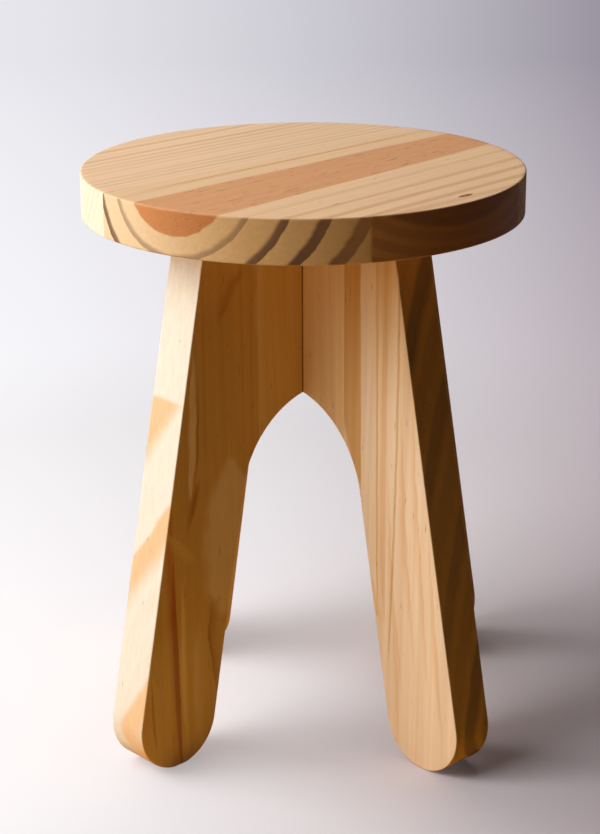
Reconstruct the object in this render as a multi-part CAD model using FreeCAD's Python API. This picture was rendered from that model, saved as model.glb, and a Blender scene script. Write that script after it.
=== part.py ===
import FreeCAD, Part
import math
import os

# Round four-legged wooden stool: a seat glued up from three staves stands on two arched
# leg boards that cross at right angles in a halving joint. Hidden dowels pin the seat.
#
# Frame: millimetres, +Z up. The origin is on the floor under the centre of the seat.
# +X runs along the upper board and along the grain of the seat.
# Front left is -X, back right +X, front right -Y and back left +Y.

# Seat
stool_height = 400.0
seat_diameter = 302.0
seat_thickness = 30.0
seat_edge_radius = 1.2
seat_left_stave_width = 120.0  # from the rim at +Y to the first glue line
seat_right_stave_width = 16.0  # from the rim at -Y to the second glue line

# Leg boards, both with the same outline
board_thickness = 32.0
board_top_width = 204.0
board_centre_stave_width = 114.0
board_edge_radius = 0.8
arch_radius = 73.5
crossing_depth = 123.0  # from the seat's underside down to the crown of the arch
foot_radius = 33.0
foot_centre_distance = 268.0  # between the centres of a board's two round feet
foot_flat_width = 10.0  # sanded flat that the foot stands on

# Joints
halving_clearance = 0.1  # on each side of a slot, and at its end
dowel_diameter = 8.0
dowel_length = 40.0
dowel_chamfer = 1.0
dowel_cover = 11.0  # wood left above a dowel hole in the seat
dowel_glue_gap = 0.1  # on the radius
dowel_end_gap = 1.0  # at each end of a dowel
dowel_corner_distance = 22.0  # outer dowel, from the top corner of the board
dowel_crossing_distance = 26.0  # inner dowel, from the face of the crossing board

# Places worked out from the sizes
seat_radius = seat_diameter / 2
seat_underside = stool_height - seat_thickness
left_glue_line = seat_radius - seat_left_stave_width
right_glue_line = seat_right_stave_width - seat_radius
arch_crown = seat_underside - crossing_depth
halving_level = (seat_underside + arch_crown) / 2
foot_centre_height = math.sqrt(foot_radius**2 - (foot_flat_width / 2) ** 2)
outer_dowel_offset = board_top_width / 2 - dowel_corner_distance
inner_dowel_offset = board_thickness / 2 + dowel_crossing_distance
dowel_depth_in_seat = seat_thickness - dowel_cover - dowel_end_gap
dowel_bottom = seat_underside + dowel_depth_in_seat - dowel_length
beyond = stool_height + seat_diameter + board_top_width  # larger than any piece, for cutting boxes


def polar(centre, radius, angle):
    """Point of the board's outline plane (X, Z) at a radius and an angle from a centre."""
    return (centre[0] + radius * math.cos(angle), centre[1] + radius * math.sin(angle))


def at(point):
    """Vector in the board's mid plane for an outline point (X, Z)."""
    return FreeCAD.Vector(point[0], 0, point[1])


def mirrored(point):
    """The same outline point on the other side of the board's centre line."""
    return (-point[0], point[1])


def line(start, end):
    return Part.LineSegment(at(start), at(end)).toShape()


def arc(start, middle, end):
    return Part.Arc(at(start), at(middle), at(end)).toShape()


def block(low, high):
    """Box between two opposite corners."""
    size = [top - bottom for top, bottom in zip(high, low)]
    return Part.makeBox(*size, FreeCAD.Vector(*low))


def single(shape):
    """The one solid that a cut or an intersection leaves."""
    if len(shape.Solids) != 1:
        raise ValueError(f"expected one solid, found {len(shape.Solids)}")
    return shape.Solids[0]


def outer_tangent_angle(corner, centre):
    """Angle on the foot circle where the straight outer edge from the top corner meets it."""
    across = centre[0] - corner[0]
    down = centre[1] - corner[1]
    distance = math.hypot(across, down)
    return math.atan2(-down, -across) - math.acos(foot_radius / distance)


def inner_tangent_angle(arch_centre, foot_centre):
    """Angle on the arch circle of the straight inner edge, which runs between arch and foot."""
    across = foot_centre[0] - arch_centre[0]
    down = foot_centre[1] - arch_centre[1]
    distance = math.hypot(across, down)
    return math.atan2(down, across) + math.acos((arch_radius + foot_radius) / distance)


def leg_edges(side):
    """Outline edges of one leg, from the top corner round the foot to the springing of the arch.

    side is the identity or mirrored, for the leg at +X or at -X.
    """
    corner = (board_top_width / 2, seat_underside)
    foot_centre = (foot_centre_distance / 2, foot_centre_height)
    arch_centre = (0.0, arch_crown - arch_radius)
    outer_angle = outer_tangent_angle(corner, foot_centre)
    inner_angle = inner_tangent_angle(arch_centre, foot_centre)
    flat_angle = math.asin(foot_flat_width / 2 / foot_radius)
    outer_flat_angle = flat_angle - math.pi / 2
    inner_flat_angle = -flat_angle - math.pi / 2
    inner_foot_angle = inner_angle - math.pi
    outer_middle = (outer_angle + outer_flat_angle) / 2
    inner_middle = (inner_flat_angle + inner_foot_angle) / 2

    outer_point = side(polar(foot_centre, foot_radius, outer_angle))
    outer_round = side(polar(foot_centre, foot_radius, outer_middle))
    outer_flat = side(polar(foot_centre, foot_radius, outer_flat_angle))
    inner_flat = side(polar(foot_centre, foot_radius, inner_flat_angle))
    inner_round = side(polar(foot_centre, foot_radius, inner_middle))
    inner_point = side(polar(foot_centre, foot_radius, inner_foot_angle))
    springing = side(polar(arch_centre, arch_radius, inner_angle))
    edges = [
        line(side(corner), outer_point),
        arc(outer_point, outer_round, outer_flat),
        line(outer_flat, inner_flat),
        arc(inner_flat, inner_round, inner_point),
        line(inner_point, springing),
    ]
    return edges, springing


def whole_board():
    """Leg board along X before it is parted into staves and slotted, with its edges eased."""
    right_edges, right_springing = leg_edges(lambda point: point)
    left_edges, left_springing = leg_edges(mirrored)
    crown = arc(left_springing, (0.0, arch_crown), right_springing)
    corner = (board_top_width / 2, seat_underside)
    top = line(mirrored(corner), corner)
    outline = Part.Wire(Part.__sortEdges__(right_edges + [crown] + left_edges + [top]))
    board = Part.Face(outline).extrude(FreeCAD.Vector(0, board_thickness, 0))
    board.translate(FreeCAD.Vector(0, -board_thickness / 2, 0))
    eased = [edge for edge in board.Edges if lies_on_face(edge) and not is_top(edge)]
    return board.makeFillet(board_edge_radius, eased)


def lies_on_face(edge):
    """True for an edge that runs round one of the board's two broad faces."""
    box = edge.BoundBox
    return box.YLength < board_edge_radius and abs(abs(box.Center.y) - board_thickness / 2) < board_edge_radius


def is_top(edge):
    """True for an edge that bears on the seat."""
    return edge.BoundBox.ZMin > seat_underside - board_edge_radius


def dowel(x, y):
    """One dowel with chamfered ends, standing half in a board and half in the seat."""
    place = FreeCAD.Vector(x, y, dowel_bottom)
    pin = Part.makeCylinder(dowel_diameter / 2, dowel_length, place)
    ends = [edge for edge in pin.Edges if edge.BoundBox.ZLength < dowel_chamfer]
    return pin.makeChamfer(dowel_chamfer, ends)


def dowel_hole(x, y):
    """Space of one dowel's two blind holes, in the board and in the seat."""
    place = FreeCAD.Vector(x, y, dowel_bottom - dowel_end_gap)
    return Part.makeCylinder(dowel_diameter / 2 + dowel_glue_gap, dowel_length + 2 * dowel_end_gap, place)


def seat_staves(holes):
    """The three staves of the seat, parted at the two glue lines."""
    centre = FreeCAD.Vector(0, 0, seat_underside)
    disc = Part.makeCylinder(seat_radius, seat_thickness, centre)
    rims = [edge for edge in disc.Edges if edge.BoundBox.ZLength < seat_edge_radius]
    disc = disc.makeFillet(seat_edge_radius, rims).cut(holes)
    strips = {
        "seat_stave_left": (left_glue_line, beyond),
        "seat_stave_middle": (right_glue_line, left_glue_line),
        "seat_stave_right": (-beyond, right_glue_line),
    }
    staves = {}
    for name, (low, high) in strips.items():
        strip = block((-beyond, low, 0), (beyond, high, beyond))
        staves[name] = single(disc.common(strip))
    return staves


def board_staves(slot):
    """A slotted board along X parted into its leg at -X, its centre stave and its leg at +X."""
    board = whole_board().cut(slot)
    half = board_centre_stave_width / 2
    strips = [(-beyond, -half), (-half, half), (half, beyond)]
    return [single(board.common(block((low, -beyond, -beyond), (high, beyond, beyond)))) for low, high in strips]


def main():
    offsets = [-outer_dowel_offset, -inner_dowel_offset, inner_dowel_offset, outer_dowel_offset]
    places = [(offset, 0) for offset in offsets] + [(0, offset) for offset in offsets]
    holes = Part.makeCompound([dowel_hole(x, y) for x, y in places])

    # The upper board's slot opens down and the lower board's opens up, so that the upper one
    # drops over the lower one and both stand flush under the seat.
    slot_half = board_thickness / 2 + halving_clearance
    slot_from_below = block((-slot_half, -beyond, 0), (slot_half, beyond, halving_level + halving_clearance))
    slot_from_above = block((-slot_half, -beyond, halving_level), (slot_half, beyond, beyond))
    upper_names = ["upper_board_leg_front_left", "upper_board_centre", "upper_board_leg_back_right"]
    lower_names = ["lower_board_leg_front_right", "lower_board_centre", "lower_board_leg_back_left"]

    parts = seat_staves(holes)
    for name, stave in zip(upper_names, board_staves(slot_from_below)):
        parts[name] = single(stave.cut(holes))
    for name, stave in zip(lower_names, board_staves(slot_from_above)):
        stave.rotate(FreeCAD.Vector(0, 0, 0), FreeCAD.Vector(0, 0, 1), 90)
        parts[name] = single(stave.cut(holes))
    parts["seat_dowels"] = Part.makeCompound([dowel(x, y) for x, y in places])

    os.makedirs("parts", exist_ok=True)
    for name, shape in parts.items():
        shape.exportStep(f"parts/{name}.step")
        print(f"{name}: solids {len(shape.Solids)}, valid {shape.isValid()}, volume {shape.Volume:.0f}")


main()
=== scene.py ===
import logging
import math
from dataclasses import dataclass
from enum import Enum
from typing import ClassVar

import bmesh
import bpy
import numpy as np
from mathutils import Matrix, Vector


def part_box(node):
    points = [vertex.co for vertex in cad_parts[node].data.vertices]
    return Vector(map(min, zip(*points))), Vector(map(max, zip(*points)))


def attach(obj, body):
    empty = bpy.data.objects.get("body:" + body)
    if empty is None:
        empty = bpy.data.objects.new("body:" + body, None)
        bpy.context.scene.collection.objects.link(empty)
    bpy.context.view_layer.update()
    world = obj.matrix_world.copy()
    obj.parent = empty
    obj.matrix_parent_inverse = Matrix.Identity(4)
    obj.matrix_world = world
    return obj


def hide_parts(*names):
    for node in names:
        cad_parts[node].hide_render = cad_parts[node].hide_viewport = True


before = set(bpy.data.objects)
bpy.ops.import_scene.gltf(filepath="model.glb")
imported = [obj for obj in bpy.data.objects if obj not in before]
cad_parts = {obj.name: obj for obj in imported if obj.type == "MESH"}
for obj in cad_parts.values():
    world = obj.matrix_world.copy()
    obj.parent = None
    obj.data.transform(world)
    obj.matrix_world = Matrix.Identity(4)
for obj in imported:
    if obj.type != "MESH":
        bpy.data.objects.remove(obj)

# Looks of a round pine stool: a seat glued up from three staves on two crossing leg boards,
# each glued up from three staves. Metres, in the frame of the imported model: +Z up, the
# origin on the floor under the seat, +X along the upper leg board and the seat's grain.

log = logging.getLogger("stool")

MM = 0.001
BODY = "root"

Point = tuple[float, float, float]
Tint = tuple[int, int, int]
Span = tuple[float, float]

# Dark line where the leg boards cross: partly glue, partly painted shade in the crease.
GLUE_AND_CREASE_SHADE_TINT: Tint = (130, 84, 36)

# Marks are placed in millimetres. Both leg boards have their front face here, and a mark of
# the whole depth goes right through a board.
FRONT_FACE = -16.0
WHOLE = 40.0


def linear(tint: Tint) -> tuple[float, float, float, float]:
    """Turn a display colour into the linear colour that a socket takes.

    Args:
        tint: Red, green and blue from 0 to 255.

    Returns:
        Linear red, green, blue and an alpha of 1.
    """
    shares = np.array(tint, float) / 255
    low = shares / 12.92
    high = ((shares + 0.055) / 1.055) ** 2.4
    red, green, blue = np.where(shares <= 0.04045, low, high)
    return (float(red), float(green), float(blue), 1.0)


def straight(start: tuple[float, float], end: tuple[float, float], steps: int) -> np.ndarray:
    """Points of a straight line: the start plus an even share of the way to the end.

    Args:
        start: First point in the outline's plane.
        end: Last point in the outline's plane.
        steps: How many equal steps lie between them.

    Returns:
        Array of steps + 1 points.
    """
    share = np.linspace(0, 1, steps + 1)[:, None]
    return np.array(start) + share * (np.array(end) - np.array(start))


def arc(centre: tuple[float, float], radius: float, start: float, end: float, steps: int) -> np.ndarray:
    """Points of an arc: the centre plus the radius times the cosine and sine of the angle.

    Args:
        centre: Centre of the circle.
        radius: Radius of the circle.
        start: First angle, in radians.
        end: Last angle, in radians.
        steps: How many equal steps lie between them.

    Returns:
        Array of steps + 1 points.
    """
    angle = np.linspace(start, end, steps + 1)
    return np.array(centre) + radius * np.stack([np.cos(angle), np.sin(angle)], -1)


def chain(*stretches: np.ndarray) -> np.ndarray:
    """Join stretches end to end, leaving out each repeated point."""
    return np.concatenate([stretches[0]] + [stretch[1:] for stretch in stretches[1:]])


def level(half: float, height: float, steps: int) -> np.ndarray:
    """Points of a level line, as far to the left of the middle as to the right."""
    return straight((-half, height), (half, height), steps)


def bracket(half: float, start: float, turn: float, sides: int, middle: np.ndarray) -> np.ndarray:
    """Three-sided outline: from the start level to the turn, along the middle, and back.

    Args:
        half: Half the distance between its two sides.
        start: Level of both ends.
        turn: Level where the sides meet the middle.
        sides: How many steps each side has.
        middle: The stretch between the sides.

    Returns:
        Array of points.
    """
    out = straight((-half, start), (-half, turn), sides)
    back = straight((half, turn), (half, start), sides)
    return chain(out, middle, back)


def filled(first: np.ndarray, last: np.ndarray, left: np.ndarray, right: np.ndarray) -> np.ndarray:
    """Fill four joined boundary curves with a grid of points.

    The grid is the blend from the first to the last curve, plus the blend from the left to
    the right one, less the blend of the four corners, which both of them hold.

    Args:
        first: Curve along the first row.
        last: Curve along the last row.
        left: Curve down the first column.
        right: Curve down the last column.

    Returns:
        Array of rows, columns and two coordinates.
    """
    u = np.linspace(0, 1, len(first))[None, :, None]
    v = np.linspace(0, 1, len(left))[:, None, None]
    rows = (1 - v) * first[None] + v * last[None]
    columns = (1 - u) * left[:, None] + u * right[:, None]
    near = (1 - u) * first[0] + u * first[-1]
    far = (1 - u) * last[0] + u * last[-1]
    return rows + columns - (1 - v) * near - v * far


@dataclass(frozen=True)
class Slab:
    """A flat piece of wood: one outline carried through its thickness, with eased arrises.

    The face grids hold the same points twice, on the full outline and on the outline that is
    left inside the rounding, so that an arris is eased only where the two differ.
    """

    full: np.ndarray
    eased: np.ndarray
    low: float
    high: float
    radius: float

    ROUND_STEPS = 4
    SUPPORT = 0.4 * MM
    SIDE_SHARE = 0.9
    SIDE_WEAR = 0.35
    SHARP_ANGLE = math.radians(35)

    def profile(self) -> np.ndarray:
        """Side profile from the high face over one arris, down the side and round the other.

        On the rounding the share of the full outline is the sine of the angle, and the depth
        below the face is the radius times one minus its cosine.

        Returns:
            Array of pairs: share of the full outline, and height through the thickness.
        """
        angle = np.linspace(0, math.pi / 2, self.ROUND_STEPS + 1)
        share = np.sin(angle)
        depth = self.radius * (1 - np.cos(angle))
        share = np.append(share, 1.0)
        depth = np.append(depth, self.radius + self.SUPPORT)
        upper = np.stack([share, self.high - depth], -1)
        lower = np.stack([share, self.low + depth], -1)[::-1]
        return np.concatenate([upper, lower])

    def rim(self) -> np.ndarray:
        """Find the face grid's outer points, in order round the face.

        Returns:
            Array of their indices.
        """
        rows, columns = self.full.shape[:2]
        index = np.arange(rows * columns).reshape(rows, columns)
        return np.concatenate([index[0, :-1], index[:-1, -1], index[-1, :0:-1], index[:0:-1, 0]])

    def arrays(self) -> tuple[np.ndarray, list[list[int]], np.ndarray, int]:
        """Work out the slab's points and faces.

        Each ring of the side is the eased outline plus the profile's share of the way to the
        full one, at the profile's height. The first and last rings are the faces' own rims.

        Returns:
            Points (across, up, through), faces, wear of each point, and the number of face
            quads, which come first.
        """
        rows, columns = self.full.shape[:2]
        count = rows * columns
        inner = self.eased.reshape(-1, 2)
        outer = self.full.reshape(-1, 2)
        rim = self.rim()
        steps = self.profile()[1:-1]
        rings = inner[rim] + steps[:, 0, None, None] * (outer[rim] - inner[rim])
        heights = np.broadcast_to(steps[:, 1, None, None], rings.shape[:2] + (1,))
        side = np.concatenate([rings, heights], -1).reshape(-1, 3)
        top = np.column_stack([inner, np.full(count, self.high)])
        bottom = np.column_stack([inner, np.full(count, self.low)])
        points = np.concatenate([top, bottom, side])

        cell = np.arange(count).reshape(rows, columns)
        quads = np.stack([cell[:-1, :-1], cell[:-1, 1:], cell[1:, 1:], cell[1:, :-1]], -1).reshape(-1, 4)
        ring_index = 2 * count + np.arange(len(steps) * len(rim)).reshape(len(steps), len(rim))
        loops = np.concatenate([rim[None], ring_index, rim[None] + count])
        onward = np.roll(loops, -1, axis=1)
        strips = np.stack([loops[:-1], loops[1:], onward[1:], onward[:-1]], -1).reshape(-1, 4)
        faces = np.concatenate([quads, quads[:, ::-1] + count, strips])

        moved = np.linalg.norm(outer[rim] - inner[rim], axis=1) / self.radius
        share = steps[:, 0]
        bend = np.sin(math.pi * np.clip(share, 0, 1)) + (share > self.SIDE_SHARE) * self.SIDE_WEAR
        side_wear = np.clip(bend, 0, 1)[:, None] * np.clip(moved, 0, 1)
        wear = np.concatenate([np.zeros(2 * count), side_wear.ravel()])
        return points, faces.tolist(), wear, 2 * len(quads)


class Direction(Enum):
    """Which way a slab's outline plane stands in the stool."""

    FLAT = "flat"
    ALONG_X = "along x"
    ALONG_Y = "along y"

    def placed(self, points: np.ndarray) -> np.ndarray:
        """Turn points (across, up, through) into the stool's axes.

        Args:
            points: Array of points in the slab's own axes.

        Returns:
            Array of points in the stool's axes.
        """
        across, up, through = points.T
        if self is Direction.FLAT:
            return np.stack([across, up, through], -1)
        if self is Direction.ALONG_X:
            return np.stack([across, through, up], -1)
        return np.stack([-through, across, up], -1)


def slab_object(
    name: str, slab: Slab, direction: Direction, material: bpy.types.Material
) -> bpy.types.Object:
    """Make the finished object of one slab.

    Args:
        name: Name of the object and of its mesh.
        slab: The slab's outline and thickness.
        direction: Which way it stands.
        material: Its finish.

    Returns:
        The new object, in the scene's collection.
    """
    points, faces, wear, face_quads = slab.arrays()
    mesh = bpy.data.meshes.new(name)
    mesh.from_pydata(direction.placed(points), [], faces)
    smooth = np.arange(len(faces)) >= face_quads
    mesh.polygons.foreach_set("use_smooth", smooth)
    worn = mesh.attributes.new("arris", "FLOAT", "POINT")
    worn.data.foreach_set("value", wear.astype(np.float32))
    shell = bmesh.new()
    shell.from_mesh(mesh)
    bmesh.ops.recalc_face_normals(shell, faces=shell.faces)
    shell.to_mesh(mesh)
    shell.free()
    mesh.set_sharp_from_angle(angle=slab.SHARP_ANGLE)
    mesh.materials.append(material)
    piece = bpy.data.objects.new(name, mesh)
    bpy.context.scene.collection.objects.link(piece)
    return piece


class Graph:
    """Adds nodes to a tree and joins them, so that a finish reads as one step after another."""

    def __init__(self, tree: bpy.types.NodeTree) -> None:
        """Start on an empty tree.

        Args:
            tree: The material's or group's node tree.
        """
        self.tree = tree
        tree.nodes.clear()

    def feed(self, socket: bpy.types.NodeSocket, value: object) -> None:
        """Join an output to a socket, or set the socket's own value.

        Args:
            socket: The input to fill.
            value: An output socket, a number, or a tuple of numbers.
        """
        if isinstance(value, bpy.types.NodeSocket):
            self.tree.links.new(value, socket)
        else:
            socket.default_value = value

    def node(
        self, kind: str, inputs: dict[str | int, object] | None = None, **settings: object
    ) -> bpy.types.Node:
        """Add a node.

        Args:
            kind: Blender's name for the node type.
            inputs: What each input takes, by name or place.
            settings: The node's own options.

        Returns:
            The new node.
        """
        node = self.tree.nodes.new(kind)
        for option, value in settings.items():
            setattr(node, option, value)
        for key, value in (inputs or {}).items():
            self.feed(node.inputs[key], value)
        return node

    def math(self, operation: str, *values: object) -> bpy.types.NodeSocket:
        """One step of arithmetic on numbers."""
        return self.node("ShaderNodeMath", dict(enumerate(values)), operation=operation).outputs[0]

    def vector(self, operation: str, *values: object) -> bpy.types.Node:
        """One step of arithmetic on vectors."""
        return self.node("ShaderNodeVectorMath", dict(enumerate(values)), operation=operation)

    def dot(self, first: object, second: object) -> bpy.types.NodeSocket:
        """Dot product of two vectors."""
        return self.vector("DOT_PRODUCT", first, second).outputs["Value"]

    def spread(self, value: object, start: object, end: object) -> bpy.types.NodeSocket:
        """Rise evenly from 0 at the start to 1 at the end."""
        inputs = {"Value": value, "From Min": start, "From Max": end}
        return self.node("ShaderNodeMapRange", inputs).outputs[0]

    def smooth(self, value: object, start: object, end: object) -> bpy.types.NodeSocket:
        """Rise smoothly from 0 at the start to 1 at the end."""
        inputs = {"Value": value, "From Min": start, "From Max": end}
        return self.node("ShaderNodeMapRange", inputs, interpolation_type="SMOOTHSTEP").outputs[0]

    def ramp(self, value: object, low: float, high: float) -> bpy.types.NodeSocket:
        """Spread a value from 0 to 1 over a range."""
        inputs = {"Value": value, "To Min": low, "To Max": high}
        return self.node("ShaderNodeMapRange", inputs).outputs[0]

    def blend(self, share: object, first: object, second: object, how: str = "MIX") -> bpy.types.NodeSocket:
        """Mix two colours."""
        node = self.node("ShaderNodeMix", {0: share, 6: first, 7: second}, data_type="RGBA", blend_type=how)
        return node.outputs[2]

    def noise(
        self, position: object, scale: object, detail: float = 2.0, rough: float = 0.5
    ) -> bpy.types.NodeSocket:
        """Smooth noise about one half."""
        inputs = {"Vector": position, "Scale": scale, "Detail": detail, "Roughness": rough}
        return self.node("ShaderNodeTexNoise", inputs).outputs[0]

    def group(self, tree: bpy.types.NodeTree, inputs: dict[str, object]) -> bpy.types.Node:
        """Place a node group with its own values.

        Args:
            tree: The node group.
            inputs: What each input takes, by name.

        Returns:
            The new node.
        """
        node = self.tree.nodes.new("ShaderNodeGroup")
        node.node_tree = tree
        for key, value in inputs.items():
            self.feed(node.inputs[key], value)
        return node


class Socket(Enum):
    """Kinds of group socket."""

    NUMBER = "NodeSocketFloat"
    VECTOR = "NodeSocketVector"


def open_group(
    name: str, inputs: dict[str, Socket], outputs: dict[str, Socket]
) -> tuple[Graph, bpy.types.Node, bpy.types.Node]:
    """Start a shader node group.

    Args:
        name: Name of the group.
        inputs: Names and kinds of its inputs.
        outputs: Names and kinds of its outputs.

    Returns:
        The group's graph, its input node and its output node.
    """
    tree = bpy.data.node_groups.new(name, "ShaderNodeTree")
    for label, kind in inputs.items():
        tree.interface.new_socket(name=label, in_out="INPUT", socket_type=kind.value)
    for label, kind in outputs.items():
        tree.interface.new_socket(name=label, in_out="OUTPUT", socket_type=kind.value)
    graph = Graph(tree)
    return graph, graph.node("NodeGroupInput"), graph.node("NodeGroupOutput")


def growth_ring_group() -> bpy.types.NodeTree:
    """Growth rings about a pith line.

    The radius is the distance from the local Z axis, bent by slow noise and a little by finer
    noise. The ring number is a square law of the radius, whole at the middle of each dark
    latewood band, and the band is the part of the ring number within half the latewood share
    of a whole number. Narrow bands are fainter, and the unevenness fades some years more.

    Returns:
        The node group.
    """
    slow_along, ragged_along, ragged_scale, ragged_reach = 0.22, 0.6, 110.0, 2.4 * MM
    faint_share, full_share = -0.05, 0.22
    numbers = [
        "Offset", "Pitch", "Widening", "Late Share", "Share Growth", "Inner Softness", "Outer Softness",
        "Wobble", "Wobble Scale", "Unevenness",
    ]
    inputs = {"Position": Socket.VECTOR} | {label: Socket.NUMBER for label in numbers}
    outputs = {label: Socket.NUMBER for label in ["Latewood", "Radius"]}
    graph, source, result = open_group("growth_rings", inputs, outputs)
    value = source.outputs
    slow = graph.vector("MULTIPLY", value["Position"], (1.0, 1.0, slow_along)).outputs[0]
    bend = graph.math("SUBTRACT", graph.noise(slow, value["Wobble Scale"], 1.5), 0.5)
    flat = graph.vector("MULTIPLY", value["Position"], (1.0, 1.0, 0.0)).outputs[0]
    distance = graph.vector("LENGTH", flat).outputs["Value"]
    radius = graph.math("MULTIPLY_ADD", bend, value["Wobble"], distance)
    drawn = graph.vector("MULTIPLY", slow, (1.0, 1.0, ragged_along)).outputs[0]
    ragged = graph.math("SUBTRACT", graph.noise(drawn, ragged_scale, 3.0), 0.5)
    radius = graph.math("MULTIPLY_ADD", ragged, ragged_reach, radius)
    slope = graph.math("MULTIPLY_ADD", radius, value["Widening"], value["Pitch"])
    ring = graph.math("MULTIPLY_ADD", slope, radius, value["Offset"])
    shifted = graph.math("ADD", ring, 0.5)
    phase = graph.math("SUBTRACT", graph.math("FRACT", shifted), 0.5)
    number = graph.math("FLOOR", shifted)
    year = graph.node("ShaderNodeTexWhiteNoise", {"W": number}, noise_dimensions="1D").outputs[0]
    share = graph.math("MULTIPLY_ADD", radius, value["Share Growth"], value["Late Share"])
    half = graph.math("MULTIPLY", share, 0.5)
    inner_end = graph.math("MULTIPLY", half, -1.0)
    inner_start = graph.math("SUBTRACT", inner_end, value["Inner Softness"])
    outer_end = graph.math("ADD", half, value["Outer Softness"])
    rise = graph.smooth(phase, inner_start, inner_end)
    fall = graph.math("SUBTRACT", 1.0, graph.smooth(phase, half, outer_end))
    kept = graph.math("SUBTRACT", 1.0, graph.math("MULTIPLY", value["Unevenness"], year))
    depth = graph.math("MULTIPLY", graph.smooth(share, faint_share, full_share), kept)
    band = graph.math("MULTIPLY", graph.math("MULTIPLY", rise, fall), depth)
    graph.feed(result.inputs["Latewood"], band)
    graph.feed(result.inputs["Radius"], radius)
    return graph.tree


def fibre_group() -> bpy.types.NodeTree:
    """Fibres along the grain: noise drawn out along local Z, and dark resin canals.

    A canal shows where short drawn-out noise passes the canal start.

    Returns:
        The node group.
    """
    fibre_along, canal_along = 0.02, 0.09
    streak_share, canal_share, canal_softness, rough = 0.22, 0.5, 0.07, 0.6
    inputs = {"Position": Socket.VECTOR, "Fineness": Socket.NUMBER, "Canal Start": Socket.NUMBER}
    outputs = {label: Socket.NUMBER for label in ["Streak", "Fine", "Canals"]}
    graph, source, result = open_group("wood_fibre", inputs, outputs)
    position, fineness = source.outputs["Position"], source.outputs["Fineness"]
    drawn = graph.vector("MULTIPLY", position, (1.0, 1.0, fibre_along)).outputs[0]
    streak = graph.noise(drawn, graph.math("MULTIPLY", fineness, streak_share), 3.0, rough)
    fine = graph.noise(drawn, fineness, 2.0, rough)
    short = graph.vector("MULTIPLY", position, (1.0, 1.0, canal_along)).outputs[0]
    spots = graph.noise(short, graph.math("MULTIPLY", fineness, canal_share), 1.0)
    start = source.outputs["Canal Start"]
    canals = graph.smooth(spots, start, graph.math("ADD", start, canal_softness))
    graph.feed(result.inputs["Streak"], streak)
    graph.feed(result.inputs["Fine"], fine)
    graph.feed(result.inputs["Canals"], canals)
    return graph.tree


def facing_group() -> bpy.types.NodeTree:
    """How far a surface faces along a direction: the cosine between its normal and the direction.

    Returns:
        The node group.
    """
    none, full = 0.25, 0.85
    graph, source, result = open_group("facing", {"Direction": Socket.VECTOR}, {"Mask": Socket.NUMBER})
    normal = graph.node("ShaderNodeNewGeometry").outputs["Normal"]
    cosine = graph.dot(normal, source.outputs["Direction"])
    graph.feed(result.inputs["Mask"], graph.smooth(graph.math("ABSOLUTE", cosine), none, full))
    return graph.tree


def grain_mark_group() -> bpy.types.NodeTree:
    """One drawn-out figure in the wood, such as an island, a flame or a resin streak.

    The place along the mark runs from -1 to 1 over its length. Across it, the mark lies
    between its sharp edge and a width behind that, and both draw together to its tips: the
    width is cut by the place along it to the power of the bluntness, and the sharp edge falls
    back by the bend times the place squared. The fan widens it through the wood, and it ends
    at its depth below the face.

    Returns:
        The node group.
    """
    unrest_scale, end_softness = 45.0, 0.5 * MM
    vectors = ["Position", "Middle", "Along", "Across"]
    numbers = ["Reach", "Width", "Sharp Edge", "Soft Edge", "Bend", "Bluntness", "Fan", "Waver", "Deep"]
    inputs = {label: Socket.VECTOR for label in vectors} | {label: Socket.NUMBER for label in numbers}
    graph, source, result = open_group("grain_mark", inputs, {"Mask": Socket.NUMBER})
    value = source.outputs
    moved = graph.vector("SUBTRACT", value["Position"], value["Middle"]).outputs[0]
    through = graph.vector("CROSS_PRODUCT", value["Along"], value["Across"]).outputs[0]
    length = graph.dot(moved, value["Along"])
    place = graph.math("ABSOLUTE", graph.math("DIVIDE", length, value["Reach"]))
    depth = graph.dot(moved, through)
    side = graph.dot(moved, value["Across"])

    unrest = graph.math("SUBTRACT", graph.noise(value["Position"], unrest_scale, 2.0), 0.5)
    side = graph.math("MULTIPLY_ADD", unrest, value["Waver"], side)
    side = graph.math("MULTIPLY_ADD", graph.math("MULTIPLY", place, place), value["Bend"], side)
    narrowed = graph.math("SUBTRACT", 1.0, graph.math("POWER", place, value["Bluntness"]))
    fanned = graph.math("MULTIPLY_ADD", depth, value["Fan"], 1.0)
    width = graph.math("MULTIPLY", value["Width"], graph.math("MULTIPLY", narrowed, fanned))
    front = graph.smooth(graph.math("MULTIPLY", side, -1.0), 0.0, value["Sharp Edge"])
    back = graph.smooth(graph.math("ADD", side, width), 0.0, value["Soft Edge"])
    bottom = graph.math("ADD", value["Deep"], end_softness)
    below = graph.smooth(graph.math("ABSOLUTE", depth), bottom, value["Deep"])
    graph.feed(result.inputs["Mask"], graph.math("MULTIPLY", graph.math("MULTIPLY", front, back), below))
    return graph.tree


@dataclass(frozen=True)
class Rings:
    """Growth rings of one stave: a pith line and a law for the ring number.

    The pith line runs from start to end, in metres. The ring number is the offset plus the
    pitch times the radius plus the widening times its square, and whole on a dark band.
    """

    start: Point
    end: Point
    offset: float
    pitch: float
    widening: float = 0.0
    late_share: float = 0.2
    share_growth: float = 0.0
    inner_softness: float = 0.12
    outer_softness: float = 0.03
    wobble: float = 3 * MM
    wobble_scale: float = 9.0
    unevenness: float = 0.3

    def grain(self) -> Vector:
        """Unit vector along the pith line."""
        return (Vector(self.end) - Vector(self.start)).normalized()


class Tone(Enum):
    """How a mark changes the wood under it."""

    DARKER = "MULTIPLY"
    PALER = "MIX"


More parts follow.
